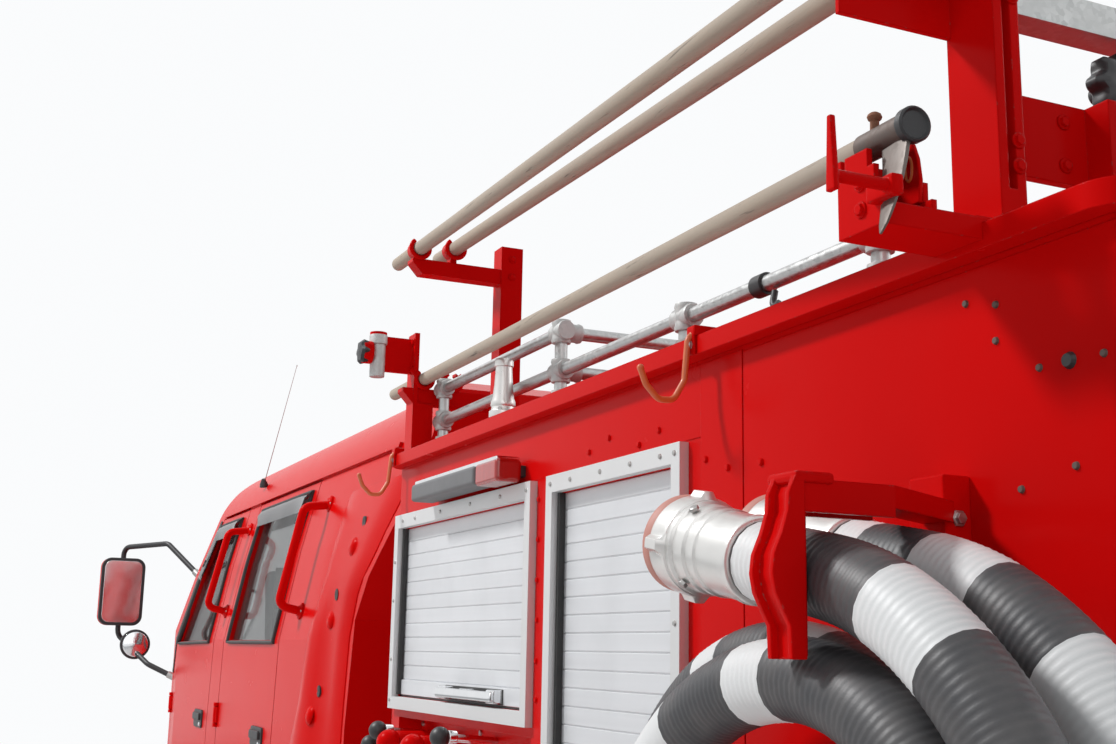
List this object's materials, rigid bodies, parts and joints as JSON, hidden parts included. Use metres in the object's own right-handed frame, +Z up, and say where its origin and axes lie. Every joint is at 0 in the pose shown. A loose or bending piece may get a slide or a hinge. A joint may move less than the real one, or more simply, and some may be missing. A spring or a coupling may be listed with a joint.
{
  "type": "crew-cab light fire pumper",
  "caption": "Compact crew-cab fire pumper with side shutter lockers, roof pole racks, deck rails, coiled suction hoses and opening doors, on steered front and twin rear wheels.",
  "frame": {"origin": "on the ground below the centre of the overall box", "axes": "+X forward along the vehicle, +Y to its left, +Z up"},
  "size_m": [5.78, 2.38, 2.395],
  "materials": {
    "red_paint": "gloss",
    "frame_black": "satin",
    "galvanised": "matt zinc",
    "shutter_alloy": "satin anodised",
    "window_glass": "clear, lightly tinted",
    "tyre_rubber": "matt",
    "wheel_steel": "satin",
    "black_plastic": "fine grain",
    "seat_fabric": "woven",
    "pole_wood": "weathered",
    "lamp_lens": "clear and red lenses",
    "hose_rubber": "ribbed",
    "hook_orange": "gloss"
  },
  "bodies": {
    "root": {"body_core": "red_paint", "body_rear": "red_paint", "body_side_left": "red_paint", "body_side_right": "red_paint", "cab_handles": "red_paint", "cab_shell": "red_paint", "carriers_front": "red_paint", "carriers_rear": "red_paint", "chassis_frame": "frame_black", "dashboard": "black_plastic", "deck_nozzle": "galvanised", "deck_rails": "galvanised", "engine": "frame_black", "fire_hook": "galvanised", "front_axle": "frame_black", "front_bumper": "red_paint", "hose_rack": "red_paint", "lamps": "lamp_lens", "lip_hooks": "hook_orange", "mirrors": "black_plastic", "poles": "pole_wood", "pump_panels": "red_paint", "rear_axle": "frame_black", "rear_step": "frame_black", "roof_gutter": "red_paint", "seats": "seat_fabric", "shutter_curtain_aft_left": "shutter_alloy", "shutter_curtain_aft_right": "shutter_alloy", "shutter_curtain_fore_left": "shutter_alloy", "shutter_curtain_fore_right": "shutter_alloy", "shutter_curtain_rear": "shutter_alloy", "shutter_frames": "shutter_alloy", "suction_hoses": "hose_rubber", "underbody": "frame_black", "windscreen": "window_glass"},
    "steering_knuckle_left": {"knuckle_left": "frame_black"},
    "front_wheel_left": {"wheel_front_left": "wheel_steel", "tyre_front_left": "tyre_rubber"},
    "rear_twin_wheels_left": {"wheels_rear_left": "wheel_steel", "tyres_rear_left": "tyre_rubber"},
    "front_door_left": {"door_front_left": "red_paint", "glass_front_left": "window_glass"},
    "rear_door_left": {"door_rear_left": "red_paint", "glass_rear_left": "window_glass"},
    "fore_shutter_left": {"shutter_bar_fore_left": "shutter_alloy"},
    "aft_shutter_left": {"shutter_bar_aft_left": "shutter_alloy"},
    "steering_knuckle_right": {"knuckle_right": "frame_black"},
    "front_wheel_right": {"wheel_front_right": "wheel_steel", "tyre_front_right": "tyre_rubber"},
    "rear_twin_wheels_right": {"wheels_rear_right": "wheel_steel", "tyres_rear_right": "tyre_rubber"},
    "front_door_right": {"door_front_right": "red_paint", "glass_front_right": "window_glass"},
    "rear_door_right": {"door_rear_right": "red_paint", "glass_rear_right": "window_glass"},
    "fore_shutter_right": {"shutter_bar_fore_right": "shutter_alloy"},
    "aft_shutter_right": {"shutter_bar_aft_right": "shutter_alloy"},
    "rear_shutter": {"shutter_bar_rear": "shutter_alloy"}
  },
  "joints": [
    {"name": "steer_left", "type": "hinge", "parent": "root", "child": "steering_knuckle_left", "pos_m": [1.76, 0.64, 0.38], "axis": [0, 0, 1], "range_deg": [-32, 32]},
    {"name": "front_wheel_left_spin", "type": "hinge", "parent": "steering_knuckle_left", "child": "front_wheel_left", "pos_m": [1.76, 0.735, 0.375], "axis": [0, 1, 0], "continuous": true},
    {"name": "rear_wheels_left_spin", "type": "hinge", "parent": "root", "child": "rear_twin_wheels_left", "pos_m": [-1.2, 0.722, 0.375], "axis": [0, 1, 0], "continuous": true},
    {"name": "front_door_left_hinge", "type": "hinge", "parent": "root", "child": "front_door_left", "pos_m": [2.403, 0.903, 1.15], "axis": [0, 0, -1], "range_deg": [0, 68]},
    {"name": "rear_door_left_hinge", "type": "hinge", "parent": "root", "child": "rear_door_left", "pos_m": [1.353, 0.916, 1.15], "axis": [0, 0, -1], "range_deg": [0, 68]},
    {"name": "fore_shutter_left_lift", "type": "slide", "parent": "root", "child": "fore_shutter_left", "axis": [0, 0, 1], "range_m": [0, 0.25], "deforming": ["shutter_curtain_fore_left"]},
    {"name": "aft_shutter_left_lift", "type": "slide", "parent": "root", "child": "aft_shutter_left", "axis": [0, 0, 1], "range_m": [0, 0.6], "deforming": ["shutter_curtain_aft_left"]},
    {"name": "steer_right", "type": "hinge", "parent": "root", "child": "steering_knuckle_right", "pos_m": [1.76, -0.64, 0.38], "axis": [0, 0, 1], "range_deg": [-32, 32]},
    {"name": "front_wheel_right_spin", "type": "hinge", "parent": "steering_knuckle_right", "child": "front_wheel_right", "pos_m": [1.76, -0.735, 0.375], "axis": [0, 1, 0], "continuous": true},
    {"name": "rear_wheels_right_spin", "type": "hinge", "parent": "root", "child": "rear_twin_wheels_right", "pos_m": [-1.2, -0.722, 0.375], "axis": [0, 1, 0], "continuous": true},
    {"name": "front_door_right_hinge", "type": "hinge", "parent": "root", "child": "front_door_right", "pos_m": [2.403, -0.903, 1.15], "axis": [0, 0, 1], "range_deg": [0, 68]},
    {"name": "rear_door_right_hinge", "type": "hinge", "parent": "root", "child": "rear_door_right", "pos_m": [1.353, -0.916, 1.15], "axis": [0, 0, 1], "range_deg": [0, 68]},
    {"name": "fore_shutter_right_lift", "type": "slide", "parent": "root", "child": "fore_shutter_right", "axis": [0, 0, 1], "range_m": [0, 0.25], "deforming": ["shutter_curtain_fore_right"]},
    {"name": "aft_shutter_right_lift", "type": "slide", "parent": "root", "child": "aft_shutter_right", "axis": [0, 0, 1], "range_m": [0, 0.6], "deforming": ["shutter_curtain_aft_right"]},
    {"name": "rear_shutter_lift", "type": "slide", "parent": "root", "child": "rear_shutter", "axis": [0, 0, 1], "range_m": [0, 0.69], "deforming": ["shutter_curtain_rear"]}
  ],
  "couplings": [
    {"joint": "steer_right", "follows": "steer_left", "ratio": 1}
  ]
}
